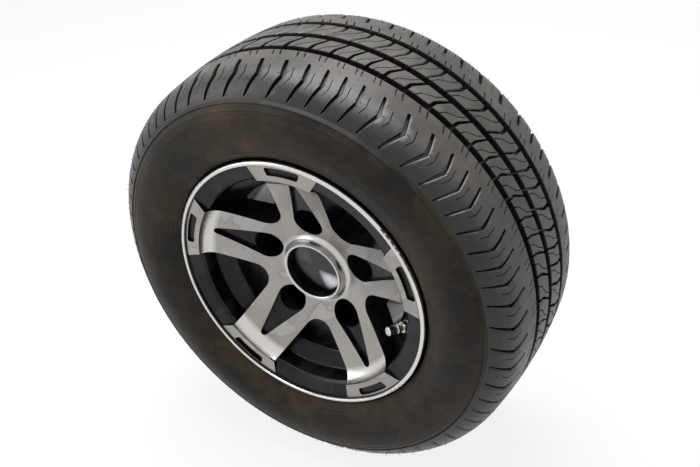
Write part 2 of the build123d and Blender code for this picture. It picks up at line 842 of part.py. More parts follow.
def build_grommet():
    """Rubber seal under the rim wall, with a sleeve that fills the valve hole."""
    flange = standing(grommet_d / 2, grommet_low(), -rim_wall)
    sleeve = standing(valve_hole_d / 2, -rim_wall - grommet_t / 2, -grommet_sleeve_low)
    return flange.fuse(sleeve).cut(standing(stem_d / 2, grommet_low() - 1, 1))


def build_washer():
    """Plain washer on the seat inside the rim."""
    washer = pipe(washer_d / 2, stem_d / 2, 0, washer_t)
    return chamfer(washer.edges().group_by(Axis.Z)[-1].sort_by(SortBy.RADIUS)[-1], washer_edge)


def build_nut():
    """Hexagon nut that draws the stem up against the rim."""
    corner_r = nut_flat_w / 2 / cos(radians(30))
    prism_part = extrude(Plane.XY.offset(washer_t) * RegularPolygon(corner_r, 6), amount=nut_t)
    dome = Pos(0, 0, washer_t + nut_t / 2) * Cylinder(corner_r, nut_t)
    dome = chamfer(dome.edges().group_by(Axis.Z)[-1], nut_edge_h, nut_edge_w)
    return (prism_part & dome).cut(standing(stem_d / 2, 0, washer_t + nut_t + 1))


def build_valve_cap():
    """Screw cap with a fluted skirt and a shallow recess in its head."""
    radius = valve_cap_d / 2
    body = standing(radius, valve_cap_low, valve_cap_top)
    body = chamfer(body.edges().filter_by(GeomType.CIRCLE), valve_cap_edge)
    roof = stem_top + cap_seal_t + 2 * cap_seal_gap
    cavity = standing(stem_d / 2 + cap_thread_clear, valve_cap_low - 1, roof)
    recess = standing(valve_cap_slot_d / 2, valve_cap_top - valve_cap_slot_depth, valve_cap_top + 1)
    flute = standing(
        valve_cap_flute_r, valve_cap_low + valve_cap_flute_low, valve_cap_top - valve_cap_flute_top
    )
    flutes = []
    for i in range(valve_cap_flutes):
        turn = Rot(0, 0, i * 360 / valve_cap_flutes)
        flutes.append(turn * Pos(radius + valve_cap_flute_out, 0, 0) * flute)
    return body.cut(cavity, recess, *flutes)


def build_cap_seal():
    """Rubber disc in the roof of the valve cap."""
    low = stem_top + cap_seal_gap
    return standing(stem_d / 2 - cap_seal_edge, low, low + cap_seal_t)


# Valve core

def core_levels():
    """Heights inside the stem: underside of the plug and underside of the barrel."""
    plug_low = core_plug_top - core_plug_len
    return plug_low, plug_low - core_barrel_len


def build_core_plug():
    """Threaded plug that holds the core in the stem."""
    plug_low = core_levels()[0]
    plug = pipe(stem_bore_d / 2, core_pin_d / 2 + core_pin_clear, plug_low, core_plug_top)
    slot = Pos(0, 0, core_plug_top) * Box(core_slot_w, stem_bore_d + 1, 2 * core_slot_depth)
    return plug - slot


def build_core_barrel():
    """Thin barrel round the spring, with a floor that guides the pin."""
    plug_low, barrel_low = core_levels()
    barrel = standing(core_barrel_d / 2, barrel_low, plug_low)
    hollow = standing(core_barrel_d / 2 - core_barrel_wall, barrel_low + core_barrel_wall, plug_low + 1)
    hole = standing(core_pin_d / 2 + core_pin_clear, barrel_low - 1, plug_low)
    return barrel.cut(hollow, hole)


def build_core_gasket():
    """Soft ring that seals the barrel in the stem."""
    barrel_low = core_levels()[1]
    low = barrel_low + core_gasket_up
    return pipe(stem_bore_d / 2 - core_gasket_clear, core_barrel_d / 2, low, low + core_gasket_len)


def collar_low():
    """Height of the underside of the pin's collar, with the valve shut."""
    return core_levels()[0] - core_collar_t


def build_core_pin():
    """Pin that opens the valve when it is pressed."""
    barrel_low = core_levels()[1]
    low = barrel_low - core_cup_t - core_pin_tail
    pin = standing(core_pin_d / 2, low, core_pin_top)
    collar = standing(core_collar_d / 2, collar_low(), collar_low() + core_collar_t)
    return pin.fuse(collar)


def build_core_cup():
    """Cup on the pin, which carries the seal under the barrel."""
    barrel_low = core_levels()[1]
    cup = standing(core_cup_d / 2, barrel_low - core_cup_t, barrel_low - core_cup_seal_t / 2)
    nest = standing(core_cup_d / 2 - core_cup_wall, barrel_low - core_cup_seal_t, barrel_low)
    return cup.cut(nest, standing(core_pin_d / 2, barrel_low - core_cup_t - 1, barrel_low))


def build_core_cup_seal():
    """Rubber ring in the cup."""
    barrel_low = core_levels()[1]
    seal_r = core_cup_d / 2 - core_cup_wall
    return pipe(seal_r, core_pin_d / 2, barrel_low - core_cup_seal_t, barrel_low)


def build_core_spring():
    """Coil spring between the floor of the barrel and the collar of the pin."""
    barrel_low = core_levels()[1]
    wire_r = core_spring_wire / 2
    low = barrel_low + core_barrel_wall + wire_r
    height = collar_low() - wire_r - low
    coil_r = core_pin_d / 2 + core_spring_clear + wire_r
    path = Pos(0, 0, low) * Helix(pitch=height / core_spring_turns, height=height, radius=coil_r)
    profile = Plane(origin=path @ 0, z_dir=path % 0) * Circle(wire_r)
    return sweep(profile, path=path)


def build_valve():
    """Every piece of the valve by name, in its place on the rim."""
    pieces = {
        "valve_stem": build_stem(),
        "valve_grommet": build_grommet(),
        "valve_washer": build_washer(),
        "valve_nut": build_nut(),
        "valve_cap": build_valve_cap(),
        "valve_cap_seal": build_cap_seal(),
        "core_plug": build_core_plug(),
        "core_barrel": build_core_barrel(),
        "core_gasket": build_core_gasket(),
        "core_pin": build_core_pin(),
        "core_cup": build_core_cup(),
        "core_cup_seal": build_core_cup_seal(),
        "core_spring": build_core_spring(),
    }
    place = valve_place().location
    return {name: piece.moved(place) for name, piece in pieces.items()}


def build_all():
    """Every named piece of the assembly."""
    pieces = {
        "wheel": build_wheel(),
        "tyre": build_tyre(),
        "cap_body": build_cap_body(),
        "cap_plate": build_cap_plate(),
        "cap_wire": build_cap_wire(),
    }
    pieces.update(build_valve())
    return pieces


os.makedirs("parts", exist_ok=True)
for name, piece in build_all().items():
    export_step(piece, f"parts/{name}.step")
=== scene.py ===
import bpy
import bmesh
import math
from bisect import bisect_right
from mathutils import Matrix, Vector
from mathutils.geometry import delaunay_2d_cdt


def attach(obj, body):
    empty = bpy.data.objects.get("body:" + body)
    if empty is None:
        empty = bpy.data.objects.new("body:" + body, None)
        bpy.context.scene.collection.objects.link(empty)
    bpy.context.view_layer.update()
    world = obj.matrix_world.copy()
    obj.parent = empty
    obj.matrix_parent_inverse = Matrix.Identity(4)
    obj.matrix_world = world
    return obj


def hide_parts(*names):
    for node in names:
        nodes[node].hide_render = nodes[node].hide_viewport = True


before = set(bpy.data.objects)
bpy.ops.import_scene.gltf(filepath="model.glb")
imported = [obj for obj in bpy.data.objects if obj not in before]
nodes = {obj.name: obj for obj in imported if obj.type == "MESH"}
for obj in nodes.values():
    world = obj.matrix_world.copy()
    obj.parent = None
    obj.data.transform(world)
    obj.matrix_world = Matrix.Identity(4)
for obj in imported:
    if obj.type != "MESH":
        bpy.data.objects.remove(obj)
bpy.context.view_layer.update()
scene = bpy.context.scene
MM = 0.001

# Sizes of the solids that the detail follows, in millimetres
LIP_DEPTH = -91.5
TYRE_R = 233.2
CROWN_R = 500.0
SHOULDER_R = 35.6
SHOULDER_AT = 61.5
RIB_R = 205.8
RIB_HALF = 1.3
RIB_TOP = 0.9
BULGE_R = 180.6
BULGE_Y = 101.0
BULGE_ARC = 40.0
LOWER_R = 145.5
LOWER_Y = 87.0
SIDE_T = 9.5

# Sizes of the detail, in millimetres
RIDGES = (
    (199.0, 1.4, 0.35), (192.5, 0.8, 0.2), (171.0, 0.8, 0.18),
    (156.5, 0.8, 0.2), (153.0, 1.6, 0.4), (149.5, 0.8, 0.25),
)  # thin ridges round the sidewall: radius, width, height
BEAD_ROWS = [
    (145.1, 85.0), (145.1, 82.2), (138.9, 76.1), (129.3, 76.1), (127.5, 75.4), (126.8, 73.5),
    (126.7, 64.6), (127.3, 62.6), (129.0, 61.8), (LOWER_R + 4, 73.0),
]  # the bead's section: radius, width
LINER_ROWS = [
    (156.0, 84.5), (168.0, 89.8), (BULGE_R, BULGE_Y - SIDE_T), (194.0, 87.5), (205.0, 79.0),
    (215.2, 64.5), (217.4, 45.0), (218.3, 22.0), (218.7, 0.8),
]  # the inside of the tyre: radius, width
ROW_WIDTHS = (15.0, 48.0, 55.0, 61.5, 66.0, 70.0, 74.0, 78.0, 81.5, 84.5, 87.0, 89.0)
PITCH_MM = 23.1
HALF_START = 0.6
JOIN_WITHIN = 0.02
HAIR_R = 0.35


# Meshes

def new_object(name, mesh):
    """Link a mesh to the scene as an object at the origin."""
    piece = bpy.data.objects.new(name, mesh)
    scene.collection.objects.link(piece)
    return piece


def baked(source, name):
    """A plain mesh of what an object looks like with its modifiers on."""
    bpy.context.view_layer.update()
    depsgraph = bpy.context.evaluated_depsgraph_get()
    mesh = bpy.data.meshes.new_from_object(source.evaluated_get(depsgraph))
    mesh.name = name
    return mesh


def smooth_by_angle(mesh, degrees):
    """Shade smooth, with a crease where two faces meet at more than an angle."""
    mesh.shade_smooth()
    mesh.set_sharp_from_angle(angle=math.radians(degrees))


def merged_copy(node, name, degrees, gap):
    """A joined-up copy of a solid, shaded smooth, its normals taken from its larger faces."""
    bm = bmesh.new()
    bm.from_mesh(nodes[node].data)
    bmesh.ops.remove_doubles(bm, verts=bm.verts, dist=gap * MM)
    mesh = bpy.data.meshes.new(name)
    bm.to_mesh(mesh)
    bm.free()
    for layer in ("custom_normal", "sharp_edge", "sharp_face"):
        if layer in mesh.attributes:
            mesh.attributes.remove(mesh.attributes[layer])
    smooth_by_angle(mesh, degrees)
    spare = new_object(name, mesh)
    weighted = spare.modifiers.new("even normals", "WEIGHTED_NORMAL")
    weighted.mode = "FACE_AREA"
    weighted.weight = 50
    weighted.keep_sharp = True
    result = baked(spare, name)
    bpy.data.objects.remove(spare)
    return result


# Materials: shared effects

def new_group(name, inputs, outputs):
    """Shader node group with named sockets; returns the group, its input and its output node."""
    group = bpy.data.node_groups.new(name, "ShaderNodeTree")
    for label, kind, value in inputs:
        socket = group.interface.new_socket(label, in_out="INPUT", socket_type=kind)
        if value is not None:
            socket.default_value = value
    for label, kind in outputs:
        group.interface.new_socket(label, in_out="OUTPUT", socket_type=kind)
    entry = group.nodes.new("NodeGroupInput")
    leave = group.nodes.new("NodeGroupOutput")
    return group, entry, leave


def add(tree, kind, links=None, **settings):
    """A node with its settings, and values or sockets for its inputs by name or number."""
    node = tree.nodes.new(kind)
    for key, value in settings.items():
        setattr(node, key, value)
    for key, value in (links or {}).items():
        socket = node.inputs[key]
        if isinstance(value, bpy.types.NodeSocket):
            tree.links.new(value, socket)
        else:
            socket.default_value = value
    return node


def math_node(tree, operation, a, b=0.0, clamp=False):
    """Output of one sum."""
    return add(tree, "ShaderNodeMath", {0: a, 1: b}, operation=operation, use_clamp=clamp).outputs[0]


def ramp(tree, value, low, high, to_low=0.0, to_high=1.0):
    """Value carried from one range to another, held at both ends."""
    links = {"Value": value, "From Min": low, "From Max": high, "To Min": to_low, "To Max": to_high}
    return add(tree, "ShaderNodeMapRange", links).outputs["Result"]


def mix_colour(tree, factor, a, b):
    """Two colours mixed by a factor."""
    node = tree.nodes.new("ShaderNodeMix")
    node.data_type = "RGBA"
    for key, value in ((0, factor), (6, a), (7, b)):
        if isinstance(value, bpy.types.NodeSocket):
            tree.links.new(value, node.inputs[key])
        else:
            node.inputs[key].default_value = value
    return node.outputs[2]


def new_material(name):
    """Empty material with its shader; returns the material, its tree and the shader."""
    material = bpy.data.materials.new(name)
    material.use_nodes = True
    tree = material.node_tree
    shader = tree.nodes["Principled BSDF"]
    return material, tree, shader


def use_group(tree, group, values=None):
    """Place a node group with its own values."""
    node = tree.nodes.new("ShaderNodeGroup")
    node.node_tree = group
    for key, value in (values or {}).items():
        if isinstance(value, bpy.types.NodeSocket):
            tree.links.new(value, node.inputs[key])
        else:
            node.inputs[key].default_value = value
    return node


def join_up(tree, shader, colour, rough, normal):
    """Give the shader its colour, roughness and normal."""
    tree.links.new(colour, shader.inputs["Base Color"])
    tree.links.new(rough, shader.inputs["Roughness"])
    tree.links.new(normal, shader.inputs["Normal"])


def wheel_ring_group():
    """Distance from the wheel axis, depth behind the lip and turn about the axis, in millimetres."""
    group, _, leave = new_group(
        "Place on wheel", [],
        [("Radius", "NodeSocketFloat"), ("Depth", "NodeSocketFloat"), ("Turn", "NodeSocketFloat")],
    )
    place = group.nodes.new("ShaderNodeTexCoord")
    axes = add(group, "ShaderNodeSeparateXYZ", {0: place.outputs["Object"]})
    flat = math_node(group, "SQRT", math_node(
        group, "ADD",
        math_node(group, "MULTIPLY", axes.outputs[0], axes.outputs[0]),
        math_node(group, "MULTIPLY", axes.outputs[2], axes.outputs[2]),
    ))
    radius = math_node(group, "MULTIPLY", flat, 1000.0)
    depth = math_node(group, "ADD", math_node(group, "MULTIPLY", axes.outputs[1], 1000.0), -LIP_DEPTH)
    turn = math_node(group, "ARCTAN2", axes.outputs[2], axes.outputs[0])
    group.links.new(radius, leave.inputs["Radius"])
    group.links.new(depth, leave.inputs["Depth"])
    group.links.new(turn, leave.inputs["Turn"])
    return group


def mottle_group():
    """Soft patches of a size, with a finer grain in them."""
    group, entry, leave = new_group(
        "Mottle",
        [("Scale", "NodeSocketFloat", 40.0), ("Low", "NodeSocketFloat", 0.4),
         ("High", "NodeSocketFloat", 0.7)],
        [("Mask", "NodeSocketFloat"), ("Fine", "NodeSocketFloat")],
    )
    place = group.nodes.new("ShaderNodeTexCoord")
    noise = add(group, "ShaderNodeTexNoise", {
        "Vector": place.outputs["Object"], "Scale": entry.outputs["Scale"],
        "Detail": 6.0, "Roughness": 0.6, "Distortion": 0.4,
    })
    mask = ramp(group, noise.outputs["Fac"], entry.outputs["Low"], entry.outputs["High"])
    fine_scale = math_node(group, "MULTIPLY", entry.outputs["Scale"], 14.0)
    fine = add(group, "ShaderNodeTexNoise", {
        "Vector": place.outputs["Object"], "Scale": fine_scale, "Detail": 3.0,
    })
    group.links.new(mask, leave.inputs["Mask"])
    group.links.new(fine.outputs["Fac"], leave.inputs["Fine"])
    return group


def grain_group():
    """Fine surface grain as a bumped normal."""
    group, entry, leave = new_group(
        "Grain",
        [("Scale", "NodeSocketFloat", 900.0), ("Strength", "NodeSocketFloat", 0.2),
         ("Height", "NodeSocketFloat", 0.0002)],
        [("Normal", "NodeSocketVector")],
    )
    place = group.nodes.new("ShaderNodeTexCoord")
    noise = add(group, "ShaderNodeTexNoise", {
        "Vector": place.outputs["Object"], "Scale": entry.outputs["Scale"], "Detail": 4.0,
    })
    bump = add(group, "ShaderNodeBump", {
        "Strength": entry.outputs["Strength"], "Distance": entry.outputs["Height"],
        "Height": noise.outputs["Fac"],
    })
    group.links.new(bump.outputs["Normal"], leave.inputs["Normal"])
    return group


def stain_group():
    """Dried water marks: patches with a clear edge."""
    group, entry, leave = new_group(
        "Dried water marks",
        [("Scale", "NodeSocketFloat", 26.0), ("Level", "NodeSocketFloat", 0.56)],
        [("Mask", "NodeSocketFloat"), ("Edge", "NodeSocketFloat")],
    )
    place = group.nodes.new("ShaderNodeTexCoord")
    noise = add(group, "ShaderNodeTexNoise", {
        "Vector": place.outputs["Object"], "Scale": entry.outputs["Scale"],
        "Detail": 4.0, "Roughness": 0.45, "Distortion": 0.8,
    })
    above = math_node(group, "SUBTRACT", noise.outputs["Fac"], entry.outputs["Level"])
    mask = ramp(group, above, 0.0, 0.02)
    edge = ramp(group, math_node(group, "ABSOLUTE", above), 0.014, 0.0)
    group.links.new(mask, leave.inputs["Mask"])
    group.links.new(edge, leave.inputs["Edge"])
    return group


def rings_group():
    """Fine rings about the wheel axis, as left by a turning tool."""
    group, entry, leave = new_group(
        "Turned rings",
        [("Rings per mm", "NodeSocketFloat", 1.2), ("Strength", "NodeSocketFloat", 0.2)],
        [("Shade", "NodeSocketFloat"), ("Normal", "NodeSocketVector")],
    )
    place = use_group(group, PLACE)
    across = math_node(group, "MULTIPLY", place.outputs["Radius"], entry.outputs["Rings per mm"])
    noise = add(group, "ShaderNodeTexNoise", {
        "W": across, "Scale": 1.0, "Detail": 4.0, "Roughness": 0.7,
    }, noise_dimensions="1D")
    bump = add(group, "ShaderNodeBump", {
        "Strength": entry.outputs["Strength"], "Distance": 0.0002, "Height": noise.outputs["Fac"],
    })
    group.links.new(noise.outputs["Fac"], leave.inputs["Shade"])
    group.links.new(bump.outputs["Normal"], leave.inputs["Normal"])
    return group


PLACE = wheel_ring_group()
MOTTLE = mottle_group()
GRAIN = grain_group()
STAINS = stain_group()
RINGS = rings_group()


def sidewall_material():
    """Rubber of the sidewall: black under brown dust, thickest near the rim."""
    material, tree, shader = new_material("sidewall rubber")
    place = use_group(tree, PLACE)
    patches = use_group(tree, MOTTLE, {"Scale": 11.0, "Low": 0.40, "High": 0.64})
    smears = use_group(tree, MOTTLE, {"Scale": 38.0, "Low": 0.42, "High": 0.70})
    marks = use_group(tree, STAINS, {"Scale": 14.0, "Level": 0.57})
    near_rim = ramp(tree, place.outputs["Radius"], 150.0, 180.0, 1.0, 0.62)
    dust = math_node(tree, "MULTIPLY", near_rim, ramp(tree, patches.outputs["Mask"], 0.0, 1.0, 0.15, 1.0))
    wiped = math_node(tree, "MULTIPLY", marks.outputs["Mask"], -0.25)
    dust = math_node(tree, "ADD", dust, wiped, clamp=True)
    black = mix_colour(tree, smears.outputs["Mask"], (0.012, 0.011, 0.010, 1), (0.020, 0.017, 0.014, 1))
    brown = mix_colour(tree, smears.outputs["Mask"], (0.038, 0.027, 0.017, 1), (0.078, 0.057, 0.036, 1))
    colour = mix_colour(tree, dust, black, brown)
    scuffs = ramp(tree, smears.outputs["Fine"], 0.66, 0.78, 0.0, 0.5)
    colour = mix_colour(tree, scuffs, colour, (0.075, 0.060, 0.045, 1))
    rough = ramp(tree, dust, 0.0, 1.0, 0.38, 0.62)
    grain = use_group(tree, GRAIN, {"Scale": 520.0, "Strength": 0.5, "Height": 0.0004})
    join_up(tree, shader, colour, rough, grain.outputs["Normal"])
    shader.inputs["Specular IOR Level"].default_value = 0.14
    return material


def tread_material():
    """Rubber of the tread and shoulders: dusty on the blocks, black in the grooves."""
    material, tree, shader = new_material("tread rubber")
    place = use_group(tree, PLACE)
    sunk = add(tree, "ShaderNodeAttribute", attribute_name="sunk")
    block = ramp(tree, sunk.outputs["Fac"], 0.2, 1.6, 1.0, 0.0)
    patches = use_group(tree, MOTTLE, {"Scale": 12.0, "Low": 0.36, "High": 0.66})
    smears = use_group(tree, MOTTLE, {"Scale": 55.0, "Low": 0.36, "High": 0.70})
    top = ramp(tree, place.outputs["Radius"], 216.0, 230.0, 0.12, 1.0)
    spread = ramp(tree, patches.outputs["Mask"], 0.0, 1.0, 0.45, 1.0)
    dust = math_node(tree, "MULTIPLY", math_node(tree, "MULTIPLY", block, top), spread)
    black = mix_colour(tree, smears.outputs["Mask"], (0.007, 0.007, 0.0075, 1), (0.013, 0.0125, 0.012, 1))
    grey = mix_colour(tree, smears.outputs["Mask"], (0.044, 0.040, 0.036, 1), (0.080, 0.071, 0.062, 1))
    colour = mix_colour(tree, dust, black, grey)
    shine = math_node(tree, "ADD", dust, math_node(tree, "MULTIPLY", smears.outputs["Fine"], 0.3))
    rough = ramp(tree, shine, 0.1, 1.2, 0.30, 0.52)
    grain = use_group(tree, GRAIN, {"Scale": 900.0, "Strength": 0.35, "Height": 0.0003})
    join_up(tree, shader, colour, rough, grain.outputs["Normal"])
    shader.inputs["Specular IOR Level"].default_value = 0.42
    return material


def machined_material():
    """Turned aluminium under clear lacquer, with fine rings from the tool, dried water marks and painted
    highlights on the lip, boss and step.
    """
    material, tree, shader = new_material("turned face")
    rings = use_group(tree, RINGS, {"Rings per mm": 1.4, "Strength": 0.22})
    patches = use_group(tree, MOTTLE, {"Scale": 22.0, "Low": 0.38, "High": 0.66})
    marks = use_group(tree, STAINS, {"Scale": 24.0, "Level": 0.57})
    plain = mix_colour(tree, rings.outputs["Shade"], (0.27, 0.255, 0.24, 1), (0.41, 0.39, 0.365, 1))
    dull = mix_colour(tree, rings.outputs["Shade"], (0.25, 0.23, 0.21, 1), (0.33, 0.305, 0.28, 1))
    colour = mix_colour(tree, patches.outputs["Mask"], plain, dull)
    faded = math_node(tree, "MULTIPLY", marks.outputs["Mask"], 0.45)
    colour = mix_colour(tree, faded, colour, (0.44, 0.425, 0.41, 1))
    lined = math_node(tree, "MULTIPLY", marks.outputs["Edge"], 0.35)
    colour = mix_colour(tree, lined, colour, (0.20, 0.17, 0.14, 1))
    place = use_group(tree, PLACE)
    # Painted highlight: a paler colour on the lip, the boss and the step fillet, standing in for their shine
    lip = ramp(tree, place.outputs["Radius"], 137.0, 138.6)
    boss = ramp(tree, place.outputs["Radius"], 43.0, 37.0, 0.0, 0.7)
    step = math_node(tree, "SUBTRACT", ramp(tree, place.outputs["Radius"], 109.0, 114.0, 0.0, 0.8),
                     ramp(tree, place.outputs["Radius"], 119.5, 121.8, 0.0, 0.8))
    painted_highlight_bands = math_node(tree, "MAXIMUM", math_node(tree, "MAXIMUM", lip, boss), step)
    colour = mix_colour(tree, painted_highlight_bands, colour, (0.66, 0.655, 0.64, 1))
    specks = use_group(tree, MOTTLE, {"Scale": 75.0, "Low": 0.66, "High": 0.70})
    on_lip = ramp(tree, place.outputs["Radius"], 136.0, 139.0, 0.0, 0.8)
    rust = math_node(tree, "MULTIPLY", specks.outputs["Mask"], on_lip)
    colour = mix_colour(tree, rust, colour, (0.16, 0.075, 0.035, 1))
    rough = ramp(tree, patches.outputs["Mask"], 0.0, 1.0, 0.22, 0.34)
    join_up(tree, shader, colour, rough, rings.outputs["Normal"])
    shader.inputs["Metallic"].default_value = 1.0
    return material


def paint_material():
    """Black paint over the cast metal, with a thin film of dust."""
    material, tree, shader = new_material("black paint")
    patches = use_group(tree, MOTTLE, {"Scale": 30.0, "Low": 0.42, "High": 0.72})
    marks = use_group(tree, STAINS, {"Scale": 30.0, "Level": 0.56})
    colour = mix_colour(tree, patches.outputs["Mask"], (0.004, 0.004, 0.0045, 1), (0.014, 0.013, 0.012, 1))
    faded = math_node(tree, "MULTIPLY", marks.outputs["Mask"], 0.5)
    colour = mix_colour(tree, faded, colour, (0.020, 0.019, 0.018, 1))
    rough = ramp(tree, patches.outputs["Mask"], 0.0, 1.0, 0.16, 0.34)
    grain = use_group(tree, GRAIN, {"Scale": 260.0, "Strength": 0.22, "Height": 0.0004})
    join_up(tree, shader, colour, rough, grain.outputs["Normal"])
    shader.inputs["Specular IOR Level"].default_value = 0.22
    return material


def spun_material():
    """Dark bright-plated disc with fine spun rings; a painted highlight brightens its colour towards one
    turn about the axis, and faintly opposite.
    """
    material, tree, shader = new_material("spun plate")
    rings = use_group(tree, RINGS, {"Rings per mm": 3.0, "Strength": 0.12})
    dark = mix_colour(tree, rings.outputs["Shade"], (0.035, 0.035, 0.035, 1), (0.085, 0.085, 0.085, 1))
    # Painted highlight: the bright colour is laid on the plate by its turn about the axis, standing in for
    # its reflection
    bright = mix_colour(tree, rings.outputs["Shade"], (0.50, 0.50, 0.52, 1), (0.85, 0.86, 0.90, 1))
    place = use_group(tree, PLACE)
    facing = math_node(tree, "COSINE", math_node(tree, "SUBTRACT", place.outputs["Turn"], math.radians(-40)))
    highlight_main_lobe = ramp(tree, facing, 0.86, 1.0)
    highlight_far_lobe = ramp(tree, facing, -0.85, -1.0, 0.0, 0.06)
    outward = ramp(tree, place.outputs["Radius"], 3.0, 16.0)
    painted_highlight = math_node(tree, "MULTIPLY", math_node(tree, "ADD", highlight_main_lobe, highlight_far_lobe), outward)
    colour = mix_colour(tree, painted_highlight, dark, bright)
    around = tree.nodes.new("ShaderNodeTangent")
    around.direction_type = "RADIAL"
    around.axis = "Y"
    tree.links.new(colour, shader.inputs["Base Color"])
    tree.links.new(rings.outputs["Normal"], shader.inputs["Normal"])
    tree.links.new(around.outputs[0], shader.inputs["Tangent"])
    shader.inputs["Metallic"].default_value = 1.0
    shader.inputs["Roughness"].default_value = 0.3
    shader.inputs["Anisotropic"].default_value = 0.95
    return material


def metal_material(name, bright, dull, low, high):
    """Bare or plated metal with soft uneven patches."""
    material, tree, shader = new_material(name)
    patches = use_group(tree, MOTTLE, {"Scale": 120.0, "Low": 0.4, "High": 0.75})
    colour = mix_colour(tree, patches.outputs["Mask"], (*bright, 1), (*dull, 1))
    rough = ramp(tree, patches.outputs["Mask"], 0.0, 1.0, low, high)
    grain = use_group(tree, GRAIN, {"Scale": 1800.0, "Strength": 0.06, "Height": 0.0001})
    join_up(tree, shader, colour, rough, grain.outputs["Normal"])
    shader.inputs["Metallic"].default_value = 1.0
    return material


def soft_material(name, dark, pale, low, high):
    """Rubber or plastic with a moulded grain."""
    material, tree, shader = new_material(name)
    patches = use_group(tree, MOTTLE, {"Scale": 150.0, "Low": 0.35, "High": 0.75})
    colour = mix_colour(tree, patches.outputs["Mask"], (*dark, 1), (*pale, 1))
    rough = ramp(tree, patches.outputs["Mask"], 0.0, 1.0, low, high)
    grain = use_group(tree, GRAIN, {"Scale": 1600.0, "Strength": 0.3, "Height": 0.0002})
    join_up(tree, shader, colour, rough, grain.outputs["Normal"])
    return material


SIDEWALL = sidewall_material()
TREAD = tread_material()
TURNED = machined_material()
PAINT = paint_material()
SPUN_PLATE = spun_material()
NICKEL = metal_material("nickel plating", (0.72, 0.70, 0.66), (0.50, 0.47, 0.42), 0.16, 0.34)
BRASS = metal_material("bare brass", (0.72, 0.52, 0.24), (0.50, 0.36, 0.18), 0.25, 0.45)
SPRING_STEEL = metal_material("spring steel", (0.55, 0.55, 0.55), (0.35, 0.34, 0.33), 0.25, 0.45)
CAP_PLASTIC = soft_material("cap plastic", (0.012, 0.012, 0.013), (0.024, 0.024, 0.025), 0.4, 0.6)
SEAL_RUBBER = soft_material("seal rubber", (0.010, 0.010, 0.010), (0.022, 0.021, 0.020), 0.55, 0.8)


# Tyre: its half section

def arc_rows(start, end, centre, count):
    """Rows along an arc from start to end about a centre, without the first row."""
    a = math.atan2(start[1] - centre[1], start[0] - centre[0])
    b = math.atan2(end[1] - centre[1], end[0] - centre[0])
    turn = (b - a + math.pi) % (2 * math.pi) - math.pi
    radius = math.dist(start, centre)
    rows = []
    for i in range(1, count + 1):
        t = a + turn * i / count
        rows.append((centre[0] + radius * math.cos(t), centre[1] + radius * math.sin(t)))
    return rows


CROWN_END = TYRE_R - CROWN_R + math.sqrt(CROWN_R ** 2 - SHOULDER_AT ** 2)
SHOULDER_MID = (
    CROWN_END - SHOULDER_R * math.sqrt(1 - (SHOULDER_AT / CROWN_R) ** 2),
    SHOULDER_AT - SHOULDER_R * SHOULDER_AT / CROWN_R,
)
RIB_OUT = (
    RIB_R + RIB_HALF,
    SHOULDER_MID[1] + math.sqrt(SHOULDER_R ** 2 - (RIB_R + RIB_HALF - SHOULDER_MID[0]) ** 2),
)


def crown_rows():
    """Ungrooved tread and shoulder as (radius, y) rows, from near the centre plane to the rib."""
    rows = []
    for y in [i * 1.5 for i in range(41)]:
        rows.append((TYRE_R - CROWN_R + math.sqrt(CROWN_R ** 2 - y * y), y))
    rows.append((CROWN_END, SHOULDER_AT))
    return rows + arc_rows((CROWN_END, SHOULDER_AT), RIB_OUT, SHOULDER_MID, 40)


CROWN = crown_rows()
ALONG = [0.0]
for before, after in zip(CROWN, CROWN[1:]):
    ALONG.append(ALONG[-1] + math.dist(before, after))


def along(y):
    """Distance along the tread's section from the centre plane to a width."""
    for i in range(1, len(CROWN)):
        if y <= CROWN[i][1] + 1e-9:
            share = (y - CROWN[i - 1][1]) / (CROWN[i][1] - CROWN[i - 1][1])
            return ALONG[i - 1] + share * (ALONG[i] - ALONG[i - 1])
    return ALONG[-1]


def tread_place(t, depth):
    """Width and radius of a place along the section, sunk below the surface."""
    i = min(max(bisect_right(ALONG, t), 1), len(CROWN) - 1)
    share = (t - ALONG[i - 1]) / (ALONG[i] - ALONG[i - 1])
    (r0, y0), (r1, y1) = CROWN[i - 1], CROWN[i]
    run = math.dist((r0, y0), (r1, y1))
    out_r, out_y = (y1 - y0) / run, -(r1 - r0) / run
    return (
        y0 + share * (y1 - y0) - out_y * depth,
        r0 + share * (r1 - r0) - out_r * depth,
    )


def side_y(radius):
    """Width of the plain sidewall at a radius, from the rib in to its foot by the rim."""
    if radius >= BULGE_R:
        return BULGE_Y - BULGE_ARC + math.sqrt(BULGE_ARC ** 2 - (radius - BULGE_R) ** 2)
    drop = BULGE_Y - LOWER_Y
    lower_arc = ((BULGE_R - LOWER_R) ** 2 + drop ** 2) / (2 * drop)
    return BULGE_Y - lower_arc + math.sqrt(lower_arc ** 2 - (radius - BULGE_R) ** 2)


def side_rows():
    """Rest of the half section from the rib, down the sidewall, round the bead and up the liner."""
    rib_in = RIB_R - RIB_HALF
    rows = [
        (RIB_R + RIB_TOP, RIB_OUT[1] + 0.9),
        (RIB_R - RIB_TOP, side_y(rib_in) + 0.7),
        (rib_in, side_y(rib_in)),
    ]
    places = {LOWER_R + (rib_in - LOWER_R) * i / 26: 0.0 for i in range(26)}
    for radius, width, height in RIDGES:
        places.update({radius + width / 2: 0.0, radius + width / 5: height})
        places.update({radius - width / 5: height, radius - width / 2: 0.0})
    rows += [(radius, side_y(radius) + places[radius]) for radius in sorted(places, reverse=True)]
    return rows + BEAD_ROWS + LINER_ROWS


# Tyre: the tread pattern of one pitch, as (share of the pitch, width across the tread)

def strip(points, widths, depth, draft=0.35, bevel=0.0):
    """A groove along a line: its points, width at each point, depth, draft, and bevel on its right."""
    return {
        "points": [(x, along(y)) for x, y in points],
        "widths": widths, "depth": depth, "draft": draft, "bevel": bevel,
    }


def pit(x, y, radius, depth):
    """A small round dimple."""
    return {"points": [(x, along(y))], "widths": [2 * radius], "depth": depth, "draft": 0.5, "bevel": 0.0}


